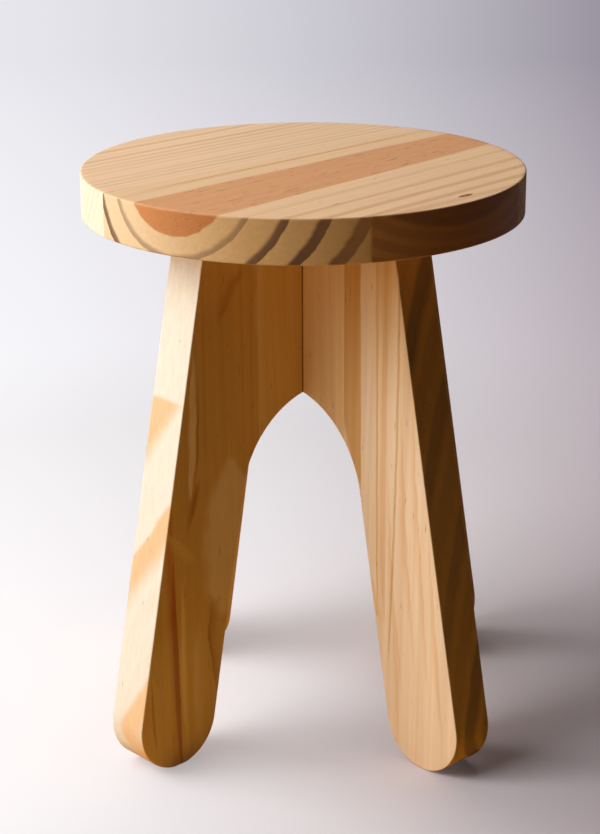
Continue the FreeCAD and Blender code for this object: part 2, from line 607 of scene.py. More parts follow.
@dataclass(frozen=True)
class Mark:
    """One figure in the grain. Its places and sizes are in millimetres.

    Its sharp edge joins the low tip to the high tip and bulges by the bend halfway, towards
    the side that it faces. The mark lies behind that edge, a width across, and goes as deep
    into the wood as it says.
    """

    low: Point
    high: Point
    width: float
    faces: Point
    tint: Tint
    strength: float = 0.6
    tone: Tone = Tone.DARKER
    bend: float = 0.0
    sharp: float = 0.8
    soft: float = 3.0
    blunt: float = 2.0
    fan: float = 0.0
    waver: float = 1.5
    deep: float = 1.0

    def mask(
        self, graph: Graph, group: bpy.types.NodeTree, place: bpy.types.NodeSocket
    ) -> bpy.types.NodeSocket:
        """Add the mark's mask, scaled by its strength.

        Args:
            graph: The material's graph.
            group: The grain_mark group.
            place: The point's position.

        Returns:
            The mask's socket.
        """
        low, high = Vector(self.low) * MM, Vector(self.high) * MM
        along = (high - low).normalized()
        across = Vector(self.faces) - Vector(self.faces).dot(along) * along
        across.normalize()
        middle = (low + high) / 2 + across * self.bend * MM
        mask = graph.group(group, {
            "Position": place, "Middle": tuple(middle), "Along": tuple(along), "Across": tuple(across),
            "Reach": (high - low).length / 2, "Width": self.width * MM, "Sharp Edge": self.sharp * MM,
            "Soft Edge": self.soft * MM, "Bend": self.bend * MM, "Bluntness": self.blunt,
            "Fan": self.fan / MM, "Waver": self.waver * MM, "Deep": self.deep * MM,
        }).outputs["Mask"]
        return graph.math("MULTIPLY", mask, self.strength)


@dataclass(frozen=True)
class PineFinish:
    """Sanded pine, with the colours of its broad faces, its sawn edges and its end grain."""

    name: str
    rings: Rings
    edge_faces: Point
    early: Tint = (240, 203, 156)
    late: Tint = (214, 160, 104)
    heart: Tint = (222, 161, 114)
    edge_early: Tint = (236, 200, 152)
    edge_late: Tint = (208, 152, 98)
    end_early: Tint = (222, 180, 125)
    end_late: Tint = (128, 74, 34)
    end_heart: Tint = (205, 132, 74)
    heart_radius: float = 0.0
    late_strength: float = 0.8
    marks: tuple[Mark, ...] = ()

    FINENESS = 1500.0
    HEART_SOFTNESS = 1.5 * MM
    CANAL_START = 0.72
    HEART_STAVE_CANAL_START = 0.74
    HEART_CANAL_CHANGE = -0.08
    CANAL_STRENGTH = 0.5
    STREAK_SHADES = (1.12, 0.86)
    WEAR_STRENGTH = 0.25
    ROUGHNESS = 0.50
    FIBRE_ROUGHNESS = 0.16
    END_ROUGHNESS = 0.12
    LATEWOOD_RELIEF = 0.6
    BUMP_STRENGTH = 0.25
    BUMP_DEPTH = 0.12 * MM
    SPECULAR_LEVEL = 0.2

    def material(self, groups: dict[str, bpy.types.NodeTree]) -> bpy.types.Material:
        """Build the finish.

        Args:
            groups: The shared node groups, by name.

        Returns:
            The new material.
        """
        made = bpy.data.materials.new(self.name)
        made.use_nodes = True
        graph = Graph(made.node_tree)
        turn = self.rings.grain().to_track_quat("Z", "Y").to_euler()
        place = graph.node("ShaderNodeTexCoord").outputs["Object"]
        local = graph.node(
            "ShaderNodeMapping",
            {"Vector": place, "Location": self.rings.start, "Rotation": tuple(turn)},
            vector_type="TEXTURE",
        ).outputs[0]
        rings = graph.group(groups["growth_rings"], {
            "Position": local, "Offset": self.rings.offset, "Pitch": self.rings.pitch,
            "Widening": self.rings.widening, "Late Share": self.rings.late_share,
            "Share Growth": self.rings.share_growth, "Inner Softness": self.rings.inner_softness,
            "Outer Softness": self.rings.outer_softness, "Wobble": self.rings.wobble,
            "Wobble Scale": self.rings.wobble_scale, "Unevenness": self.rings.unevenness,
        }).outputs
        canal_start = self.CANAL_START
        if self.heart_radius:
            heart_end = self.heart_radius - self.HEART_SOFTNESS
            core = graph.smooth(rings["Radius"], self.heart_radius, heart_end)
            canal_start = graph.math(
                "MULTIPLY_ADD", core, self.HEART_CANAL_CHANGE, self.HEART_STAVE_CANAL_START
            )
        fibre = graph.group(groups["wood_fibre"], {
            "Position": local, "Fineness": self.FINENESS, "Canal Start": canal_start,
        }).outputs
        end = graph.group(groups["facing"], {"Direction": tuple(self.rings.grain())}).outputs[0]
        edge = graph.group(groups["facing"], {"Direction": self.edge_faces}).outputs[0]
        worn = graph.node("ShaderNodeAttribute", attribute_name="arris").outputs["Fac"]

        latewood = rings["Latewood"]
        long_late = graph.math("MULTIPLY", latewood, self.late_strength)
        broad = graph.blend(long_late, linear(self.early), linear(self.late))
        narrow = graph.blend(long_late, linear(self.edge_early), linear(self.edge_late))
        long_grain = graph.blend(edge, broad, narrow)
        end_grain = graph.blend(latewood, linear(self.end_early), linear(self.end_late))
        if self.heart_radius:
            long_grain = graph.blend(core, long_grain, linear(self.heart))
            end_grain = graph.blend(core, end_grain, linear(self.end_heart))
        colour = graph.blend(end, long_grain, end_grain)
        for mark in self.marks:
            share = mark.mask(graph, groups["grain_mark"], place)
            colour = graph.blend(share, colour, linear(mark.tint), mark.tone.value)
        shade = graph.ramp(fibre["Streak"], *self.STREAK_SHADES)
        grey = graph.node("ShaderNodeCombineColor", {0: shade, 1: shade, 2: shade}).outputs[0]
        colour = graph.blend(1.0, colour, grey, Tone.DARKER.value)
        canals = graph.math("MULTIPLY", fibre["Canals"], self.CANAL_STRENGTH)
        colour = graph.blend(canals, colour, linear(self.end_late))
        rubbed = graph.math("MULTIPLY", worn, self.WEAR_STRENGTH)
        colour = graph.blend(rubbed, colour, linear(self.early))

        rough = graph.math("MULTIPLY_ADD", fibre["Fine"], self.FIBRE_ROUGHNESS, self.ROUGHNESS)
        rough = graph.math("MULTIPLY_ADD", end, self.END_ROUGHNESS, rough)
        relief = graph.math("MULTIPLY_ADD", latewood, self.LATEWOOD_RELIEF, fibre["Fine"])
        bump = graph.node("ShaderNodeBump", {
            "Strength": self.BUMP_STRENGTH, "Distance": self.BUMP_DEPTH, "Height": relief,
        }).outputs[0]
        shader = graph.node("ShaderNodeBsdfPrincipled", {
            "Base Color": colour, "Roughness": rough, "Normal": bump,
            "Specular IOR Level": self.SPECULAR_LEVEL,
        })
        graph.node("ShaderNodeOutputMaterial", {"Surface": shader.outputs[0]})
        return made


@dataclass(frozen=True)
class Softbox:
    """One square white area lamp that faces a point of the stool."""

    name: str
    place: Point
    aim: Point
    size: float
    power: float

    def hang(self) -> None:
        """Add the lamp, turned to its aim and unseen by the camera."""
        data = bpy.data.lights.new(self.name, "AREA")
        data.shape = "SQUARE"
        data.size = self.size
        data.energy = self.power
        lamp = bpy.data.objects.new(self.name, data)
        lamp.location = self.place
        lamp.rotation_euler = (Vector(self.place) - Vector(self.aim)).to_track_quat("Z", "Y").to_euler()
        lamp.visible_camera = False
        bpy.context.scene.collection.objects.link(lamp)


@dataclass(frozen=True)
class Stage:
    """Pale floor under soft light from the left, with the view of the reference picture."""

    camera_place: Point = (-0.96877, -1.03872, 0.71093)
    camera_azimuth: float = 42.8866
    camera_pitch: float = 19.0855
    camera_roll: float = -0.275
    camera_lens: float = 91.811
    camera_sensor: float = 36.0
    softboxes: tuple[Softbox, ...] = (
        Softbox("left_window", (-1.0, 0.95, 1.0), (0.0, 0.0, 0.2), 1.0, 10.0),
        Softbox("left_fill", (-1.7, 0.6, 1.3), (0.0, 0.0, 0.2), 1.4, 19.0),
        Softbox("overhead", (-1.2, 0.9, 1.9), (0.0, 0.0, 0.0), 2.0, 27.0),
        Softbox("backlight", (0.4, 0.7, 2.0), (0.0, 0.0, 0.0), 2.0, 9.5),
    )
    fill_tint: Tint = (255, 205, 150)
    fill_strength: float = 0.015
    floor_radius: float = 12.0
    floor_sides: int = 64
    floor_drop: float = 0.2 * MM
    near_tint: Tint = (252, 249, 251)
    near_dim_tint: Tint = (226, 214, 220)
    painted_front_shade_tint: Tint = (202, 189, 194)
    bounce_tints: tuple[Tint, Tint, Tint] = ((236, 216, 196), (235, 180, 52), (100, 64, 14))
    back_tints: tuple[Tint, Tint, Tint, Tint] = (
        (251, 250, 253), (194, 183, 189), (233, 232, 238), (150, 144, 157),
    )
    back_falloff: float = 1.4
    near_falloff: float = 2.4
    shadow_lift: float = 0.42
    view_distance: float = 1.42
    side_slants: Span = (-0.16, 0.15)
    left_bounce_slants: Span = (-0.2, -0.03)
    right_bounce_slants: Span = (0.04, 0.2)
    back_depths: Span = (0.4, 2.8)
    front_depths: Span = (0.05, -0.2)
    lifted_shares: Span = (0.85, 0.4)
    paper_radii: Span = (0.38, 0.95)

    def camera(self) -> None:
        """Place the camera from its azimuth, pitch and roll, and make it the scene's own."""
        azimuth = math.radians(self.camera_azimuth)
        pitch = math.radians(self.camera_pitch)
        roll = math.radians(self.camera_roll)
        level = Vector((math.sin(azimuth), math.cos(azimuth), 0))
        ahead = level * math.cos(pitch) - Vector((0, 0, math.sin(pitch)))
        right = ahead.cross(Vector((0, 0, 1))).normalized()
        up = right.cross(ahead)
        rolled_right = right * math.cos(roll) + up * math.sin(roll)
        rolled_up = up * math.cos(roll) - right * math.sin(roll)
        data = bpy.data.cameras.new("camera")
        data.lens = self.camera_lens
        data.sensor_width = self.camera_sensor
        camera = bpy.data.objects.new("camera", data)
        turned = Matrix((rolled_right, rolled_up, -ahead)).transposed().to_4x4()
        camera.matrix_world = Matrix.Translation(self.camera_place) @ turned
        bpy.context.scene.collection.objects.link(camera)
        bpy.context.scene.camera = camera

    def world(self) -> None:
        """Fill the shade with a little even light, and show a pale wall above the horizon."""
        world = bpy.data.worlds.new("studio")
        world.use_nodes = True
        graph = Graph(world.node_tree)
        sight = graph.node("ShaderNodeLightPath").outputs["Is Camera Ray"]
        fill_values = {"Color": linear(self.fill_tint), "Strength": self.fill_strength}
        fill = graph.node("ShaderNodeBackground", fill_values)
        seen = graph.node("ShaderNodeBackground", {"Color": linear(self.back_tints[2]), "Strength": 1.0})
        both = graph.node("ShaderNodeMixShader", {0: sight, 1: fill.outputs[0], 2: seen.outputs[0]})
        graph.node("ShaderNodeOutputWorld", {"Surface": both.outputs[0]})
        bpy.context.scene.world = world

    def floor(self) -> None:
        """Lay a round floor: points at the radius times the cosine and sine of even angles."""
        ring = arc((0.0, 0.0), self.floor_radius, 0, 2 * math.pi, self.floor_sides)[:-1]
        points = np.column_stack([ring, np.full(len(ring), -self.floor_drop)])
        mesh = bpy.data.meshes.new("floor")
        mesh.from_pydata(points, [], [list(range(len(ring)))])
        mesh.materials.append(self.floor_material())
        floor = bpy.data.objects.new("floor", mesh)
        bpy.context.scene.collection.objects.link(floor)

    def floor_material(self) -> bpy.types.Material:
        """Pale paper near the stool, which fades into a backdrop far from it.

        Both darken from left to right as painted falloff of the lamps' light, by a power of how far
        a point lies across the floor for its depth, and the paper darkens more in front on the
        right as painted shade. The backdrop also darkens with depth as painted falloff, and a
        little of its glow shows through the paper on the left as painted light, where the shadow
        is lightest.

        Returns:
            The new material.
        """
        made = bpy.data.materials.new("floor_paper")
        made.use_nodes = True
        graph = Graph(made.node_tree)
        path = graph.node("ShaderNodeLightPath").outputs
        sight = graph.math("MAXIMUM", path["Is Camera Ray"], path["Is Glossy Ray"])
        place = graph.node("ShaderNodeTexCoord").outputs["Object"]
        away = graph.vector("LENGTH", place).outputs["Value"]
        azimuth = math.radians(self.camera_azimuth)
        deep = graph.dot(place, (math.sin(azimuth), math.cos(azimuth), 0.0))
        side = graph.dot(place, (math.cos(azimuth), -math.sin(azimuth), 0.0))
        distance = graph.math("ADD", graph.math("ABSOLUTE", deep), self.view_distance)
        slant = graph.math("DIVIDE", side, distance)
        across = graph.spread(slant, *self.side_slants)
        share = graph.math("POWER", across, self.back_falloff)
        depth = graph.spread(deep, *self.back_depths)
        close, close_dim, far, far_dim = (linear(tint) for tint in self.back_tints)
        back = graph.blend(depth, graph.blend(share, close, close_dim), graph.blend(share, far, far_dim))
        near_share = graph.math("POWER", across, self.near_falloff)
        paper = graph.blend(near_share, linear(self.near_tint), linear(self.near_dim_tint))
        # Painted shade: darkens the paper in front of the stool on the right.
        painted_front_shade = graph.math("MULTIPLY", near_share, graph.smooth(deep, *self.front_depths))
        paper = graph.blend(painted_front_shade, paper, linear(self.painted_front_shade_tint))
        left, front, right = (linear(tint) for tint in self.bounce_tints)
        bounce = graph.blend(graph.smooth(slant, *self.left_bounce_slants), left, front)
        bounce = graph.blend(graph.smooth(slant, *self.right_bounce_slants), bounce, right)
        colour = graph.blend(sight, bounce, paper)
        near = graph.node("ShaderNodeBsdfPrincipled", {
            "Base Color": colour, "Roughness": 0.9, "Specular IOR Level": 0.1,
        })
        glow = graph.node("ShaderNodeEmission", {"Color": back, "Strength": 1.0}).outputs[0]
        lifted = graph.math("MULTIPLY", graph.smooth(across, *self.lifted_shares), self.shadow_lift)
        reach = graph.math("MAXIMUM", graph.smooth(away, *self.paper_radii), lifted)
        both = graph.node("ShaderNodeMixShader", {
            0: graph.math("MULTIPLY", reach, sight), 1: near.outputs[0], 2: glow,
        })
        graph.node("ShaderNodeOutputMaterial", {"Surface": both.outputs[0]})
        return made

    def build(self) -> None:
        """Set up camera, lamps, world and floor."""
        self.camera()
        for softbox in self.softboxes:
            softbox.hang()
        self.world()
        self.floor()
        bpy.context.scene.view_settings.view_transform = "Standard"


@dataclass(frozen=True)
class Seat:
    """The round seat: three staves parted by two glue lines along X."""

    radius: float
    low: float
    high: float
    left_glue_line: float
    right_glue_line: float
    arris: float = 1.2 * MM

    EDGE_FACES = (0.0, 1.0, 0.0)

    @classmethod
    def from_frame(cls) -> "Seat":
        """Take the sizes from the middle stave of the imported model."""
        low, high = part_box("seat_stave_middle")
        return cls(high.x, low.z, high.z, high.y, low.y)

    def rim_angle(self, line: float, inset: float) -> float:
        """Angle on the rim, inset from the full size, where a glue line meets it at +X."""
        return math.asin(line / (self.radius - inset))

    def middle_grid(self, inset: float) -> np.ndarray:
        """Middle stave: two glue lines joined by two arcs of the rim.

        Args:
            inset: How far the eased outline lies inside the full one.

        Returns:
            The grid of points.
        """
        radius = self.radius - inset
        top = self.rim_angle(self.left_glue_line, inset)
        bottom = self.rim_angle(self.right_glue_line, inset)
        rows, columns = 96, 48
        right = arc((0, 0), radius, bottom, top, rows)
        left = arc((0, 0), radius, math.pi - bottom, math.pi - top, rows)
        near = straight(left[0], right[0], columns)
        far = straight(left[-1], right[-1], columns)
        return filled(near, far, left, right)

    def outer_grid(self, line: float, inset: float) -> np.ndarray:
        """Outer stave: a glue line and the arc of the rim beyond it, parted into three sides.

        Args:
            line: The glue line's Y, positive for the left stave and negative for the right.
            inset: How far the eased outline lies inside the full one.

        Returns:
            The grid of points.
        """
        radius = self.radius - inset
        start = self.rim_angle(line, inset)
        quarter = math.copysign(math.pi / 2, line)
        corner = (start + quarter) / 2
        sides, columns = 40, 80
        right = arc((0, 0), radius, start, corner, sides)
        outer = arc((0, 0), radius, corner, 2 * quarter - corner, columns)
        left = arc((0, 0), radius, 2 * quarter - corner, 2 * quarter - start, sides)
        return filled(straight(left[-1], right[0], columns), outer[::-1], left[::-1], right)

    def left_finish(self) -> PineFinish:
        """Choose the left stave's straight fine grain, and its pale rim, whose cream end grain is partly
        painted light.

        Returns:
            The finish.
        """
        rings = Rings(
            (-0.15, 0.208, 0.486), (0.15, 0.213, 0.486), 0.2, 150.0,
            late_share=0.3, inner_softness=0.35, outer_softness=0.15, wobble=4 * MM, unevenness=1.0,
        )
        # The rim's near-white end grain, with faint rings, is partly paler wood and partly painted light.
        return PineFinish(
            "pine_seat_left", rings, self.EDGE_FACES, early=(243, 205, 167), late=(204, 150, 96),
            late_strength=0.42, end_early=(242, 228, 206), end_late=(234, 212, 180),
        )

    def middle_finish(self) -> PineFinish:
        """Choose the middle stave's heart band, and its rim, which painted shade darkens to the right of it.

        Returns:
            The finish.
        """
        side = self.EDGE_FACES
        rings = Rings(
            (-0.15, -0.0366, 0.4215), (0.15, -0.0161, 0.4318), -1.165, 32.3, 158.0,
            late_share=-0.12, share_growth=3.9, inner_softness=0.16, outer_softness=0.04,
            wobble=1.5 * MM, unevenness=0.0,
        )
        marks = (
            # Painted shade: darkens the front rim to the right of the heart band.
            Mark((-80.0, -2.0, 370.0), (-80.0, -2.0, 400.0), 300.0, side, (236, 218, 183), 1.0,
                 sharp=88.0, blunt=40.0, waver=0.0, deep=90.0),
            Mark((-148.0, 17.0, 400.0), (148.0, 24.5, 400.0), 2.2, side, (222, 190, 120), 0.8,
                 sharp=0.6, soft=1.0, blunt=6.0),
        )
        return PineFinish(
            "pine_seat_middle", rings, side, early=(238, 197, 154), late=(204, 152, 104),
            late_strength=0.52, end_early=(233, 201, 158), end_late=(76, 22, 0),
            end_heart=(201, 129, 69), heart_radius=39.5 * MM, marks=marks,
        )

    def right_finish(self) -> PineFinish:
        """Choose the right stave's dark rim, partly darker wood and partly painted shade, and its resin
        pocket.

        Returns:
            The finish.
        """
        side, up = self.EDGE_FACES, (0.0, 0.0, 1.0)
        pocket_low, pocket_high = (6.5, -137.2, 400.0), (22.0, -136.4, 400.0)
        rings = Rings(
            (-0.15, -0.18, 0.425), (0.15, -0.17, 0.425), 0.1, 116.0,
            late_share=0.35, inner_softness=0.2, outer_softness=0.2,
        )
        marks = (
            Mark((-62.0, -151.0, 399.6), (58.0, -151.0, 399.6), 15.0, up, (196, 168, 146), 0.7,
                 sharp=0.5, soft=3.0, waver=2.0, deep=13.0),
            Mark(pocket_low, pocket_high, 4.6, side, (112, 58, 40), 1.0,
                 bend=2.3, sharp=0.4, soft=0.5, waver=0.2),
            Mark(pocket_low, pocket_high, 1.6, side, (226, 176, 134), 0.55, Tone.PALER,
                 bend=0.8, sharp=0.4, soft=0.4, waver=0.2),
        )
        # The rim's edge and end-grain colours are partly darker wood and partly painted shade.
        return PineFinish(
            "pine_seat_right", rings, side, early=(234, 192, 152), late=(205, 145, 95),
            edge_early=(172, 116, 54), edge_late=(120, 70, 22), end_early=(170, 114, 50),
            end_late=(124, 74, 22), late_strength=0.4, marks=marks,
        )

    def finishes(self) -> dict[str, PineFinish]:
        """Gather the finish of each stave.

        Returns:
            The finishes, by the node that the stave replaces.
        """
        return {
            "seat_stave_left": self.left_finish(),
            "seat_stave_middle": self.middle_finish(),
            "seat_stave_right": self.right_finish(),
        }

    def build(self, groups: dict[str, bpy.types.NodeTree]) -> list[bpy.types.Object]:
        """Make the three staves.

        Args:
            groups: The shared node groups.

        Returns:
            The new objects.
        """
        grids = {
            "seat_stave_left": lambda inset: self.outer_grid(self.left_glue_line, inset),
            "seat_stave_middle": self.middle_grid,
            "seat_stave_right": lambda inset: self.outer_grid(self.right_glue_line, inset),
        }
        finishes = self.finishes()
        pieces = []
        for name, grid in grids.items():
            slab = Slab(grid(0.0), grid(self.arris), self.low, self.high, self.arris)
            piece = slab_object(f"{name}_dressed", slab, Direction.FLAT, finishes[name].material(groups))
            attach(piece, BODY)
            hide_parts(name)
            pieces.append(piece)
        return pieces


@dataclass(frozen=True)
class LegBoard:
    """One arched leg board: a leg, a slotted centre stave and another leg."""

    direction: Direction
    names: tuple[str, str, str]
    slot_from_above: bool
    top: float
    half_thickness: float
    half_centre: float
    foot_centre: float
    slot_end: float
    arch_centre: float
    half_top: float = 102 * MM
    foot_radius: float = 33 * MM
    half_flat: float = 5 * MM
    arch_radius: float = 73.5 * MM
    half_slot: float = 16.1 * MM
    halving_clearance: float = 0.1 * MM
    arris: float = 0.8 * MM

    EDGE_FACES: ClassVar[Point]
    FOOT_STEPS = 16
    INNER_STEPS = 32
    ARCH_STEPS = 10
    OUTER_STEPS = 2 * INNER_STEPS + ARCH_STEPS
    LEG_COLUMNS = 10

    @classmethod
    def from_frame(
        cls, direction: Direction, names: tuple[str, str, str], slot_from_above: bool
    ) -> "LegBoard":
        """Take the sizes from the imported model.

        Args:
            direction: Which way the board stands.
            names: Its nodes: the leg at the low end, the centre stave, the leg at the high end.
            slot_from_above: Whether its halving slot opens upwards.

        Returns:
            The board.
        """
        axis = 0 if direction is Direction.ALONG_X else 1
        centre_low, centre_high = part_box(names[1])
        leg_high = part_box(names[2])[1]
        half_centre = centre_high[axis]
        arch_centre = centre_low.z - math.sqrt(cls.arch_radius**2 - half_centre**2)
        halving_level = (centre_high.z + arch_centre + cls.arch_radius) / 2
        return cls(
            direction, names, slot_from_above, centre_high.z, centre_high[1 - axis], half_centre,
            leg_high[axis] - cls.foot_radius,
            halving_level if slot_from_above else halving_level + cls.halving_clearance,
            arch_centre,
        )

    def foot_height(self) -> float:
        """Height of the foot's centre above the floor."""
        return math.sqrt(self.foot_radius**2 - self.half_flat**2)

    def outer_angle(self) -> float:
        """Find where the straight outer edge touches the foot circle.

        Returns:
            Angle on the foot circle, in radians.
        """
        across = self.foot_centre - self.half_top
        down = self.foot_height() - self.top
        return math.atan2(-down, -across) - math.acos(self.foot_radius / math.hypot(across, down))

    def inner_angle(self) -> float:
        """Find where the straight inner edge touches the arch circle.

        Returns:
            Angle on the arch circle, in radians.
        """
        across = self.foot_centre
        down = self.foot_height() - self.arch_centre
        reach = self.arch_radius + self.foot_radius
        return math.atan2(down, across) + math.acos(reach / math.hypot(across, down))

    def leg_grid(self, side: float, inset: float) -> np.ndarray:
        """Leg: rows run from its inner curve to its outer curve, from the top to the foot.

        Args:
            side: 1 for the leg at the high end, -1 for the one at the low end.
            inset: How far the eased outline lies inside the full one.

        Returns:
            The grid of points.
        """
        foot = (self.foot_centre, self.foot_height())
        arch = (0.0, self.arch_centre)
        foot_radius = self.foot_radius - inset
        arch_radius = self.arch_radius + inset
        outer, inner = self.outer_angle(), self.inner_angle()
        flat = math.acos((self.foot_height() - inset) / foot_radius)
        glue = math.acos(self.half_centre / arch_radius)
        glue_foot = self.arch_centre + arch_radius * math.sin(glue)
        foot_arc_out = arc(foot, foot_radius, outer, flat - math.pi / 2, self.FOOT_STEPS)
        foot_arc_in = arc(foot, foot_radius, inner - math.pi, -flat - math.pi / 2, self.FOOT_STEPS)
        arch_arc = arc(arch, arch_radius, glue, inner, self.ARCH_STEPS)
        top_outer = (self.half_top - inset / math.cos(outer), self.top)
        outer_side = chain(straight(top_outer, foot_arc_out[0], self.OUTER_STEPS), foot_arc_out)
        inner_side = chain(
            straight((self.half_centre, self.top), (self.half_centre, glue_foot), self.INNER_STEPS),
            arch_arc,
            straight(arch_arc[-1], foot_arc_in[0], self.INNER_STEPS),
            foot_arc_in,
        )
        top_end = straight(inner_side[0], outer_side[0], self.LEG_COLUMNS)
        foot_end = straight(inner_side[-1], outer_side[-1], self.LEG_COLUMNS)
        return filled(top_end, foot_end, inner_side, outer_side) * np.array([side, 1.0])

    def centre_grid(self, inset: float) -> np.ndarray:
        """Centre stave, as a bent strip round its slot.

        Args:
            inset: How far the eased arch lies above the full one.

        Returns:
            The grid of points.
        """
        radius = self.arch_radius + inset
        glue = math.acos(self.half_centre / radius)
        glue_foot = self.arch_centre + radius * math.sin(glue)
        arch = (0.0, self.arch_centre)
        if self.slot_from_above:
            sides, along, columns = 24, 48, 12
            crown = arc(arch, radius, math.pi - glue, glue, along)
            slot_floor = level(self.half_slot, self.slot_end, along)
            outer = bracket(self.half_centre, self.top, glue_foot, sides, crown)
            inner = bracket(self.half_slot, self.top, self.slot_end, sides, slot_floor)
            start = straight(inner[0], outer[0], columns)
            end = straight(inner[-1], outer[-1], columns)
            return filled(start, end, inner, outer)
        sides, along, columns = 36, 24, 14
        slot = math.acos(self.half_slot / radius)
        slot_foot = self.arch_centre + radius * math.sin(slot)
        top_edge = level(self.half_centre, self.top, along)
        slot_roof = level(self.half_slot, self.slot_end, along)
        outer = bracket(self.half_centre, glue_foot, self.top, sides, top_edge)
        inner = bracket(self.half_slot, slot_foot, self.slot_end, sides, slot_roof)
        start = arc(arch, radius, math.pi - slot, math.pi - glue, columns)
        end = arc(arch, radius, slot, glue, columns)
        return filled(start, end, inner, outer)

    def front_mark(
        self, low: Span, high: Span, width: float, faces: Point, tint: Tint, strength: float = 0.6,
        tone: Tone = Tone.DARKER, **shape: float
    ) -> Mark:
        """Put a mark on the board's front face.

        Args:
            low: Low tip, across the board and up, in millimetres.
            high: High tip, the same way.
            width: How wide the mark is.
            faces: Which way its sharp edge faces.
            tint: Its colour.
            strength: How strongly it shows.
            tone: Whether it darkens the wood or covers it with a paler colour.
            shape: Its other sizes, by name.

        Returns:
            The mark.
        """
        if self.direction is Direction.ALONG_X:
            tips = [(across, FRONT_FACE, up) for across, up in (low, high)]
        else:
            tips = [(FRONT_FACE, across, up) for across, up in (low, high)]
        return Mark(*tips, width, faces, tint, strength, tone, **shape)

    def glue_line(self) -> Mark:
        """Thin dark line where the front face meets the crossing board: partly glue, partly painted shade in
        the crease.
        """
        return self.front_mark(
            (-15.0, 200.0), (-15.0, 500.0), 1.9, self.EDGE_FACES, GLUE_AND_CREASE_SHADE_TINT, 0.9,
            sharp=0.2, soft=0.6, blunt=12.0, waver=0.2, deep=WHOLE,
        )

    def finishes(self) -> tuple[PineFinish, PineFinish, PineFinish]:
        """Finish of each stave, from the low end to the high end."""
        raise NotImplementedError

    def build(self, groups: dict[str, bpy.types.NodeTree]) -> list[bpy.types.Object]:
        """Make the board's three staves.

        Args:
            groups: The shared node groups.

        Returns:
            The new objects.
        """
        grids = (
            lambda inset: self.leg_grid(-1.0, inset),
            self.centre_grid,
            lambda inset: self.leg_grid(1.0, inset),
        )
        pieces = []
        for name, grid, finish in zip(self.names, grids, self.finishes()):
            slab = Slab(grid(0.0), grid(self.arris), -self.half_thickness, self.half_thickness, self.arris)
            piece = slab_object(f"{name}_dressed", slab, self.direction, finish.material(groups))
            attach(piece, BODY)
            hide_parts(name)
            pieces.append(piece)
        return pieces


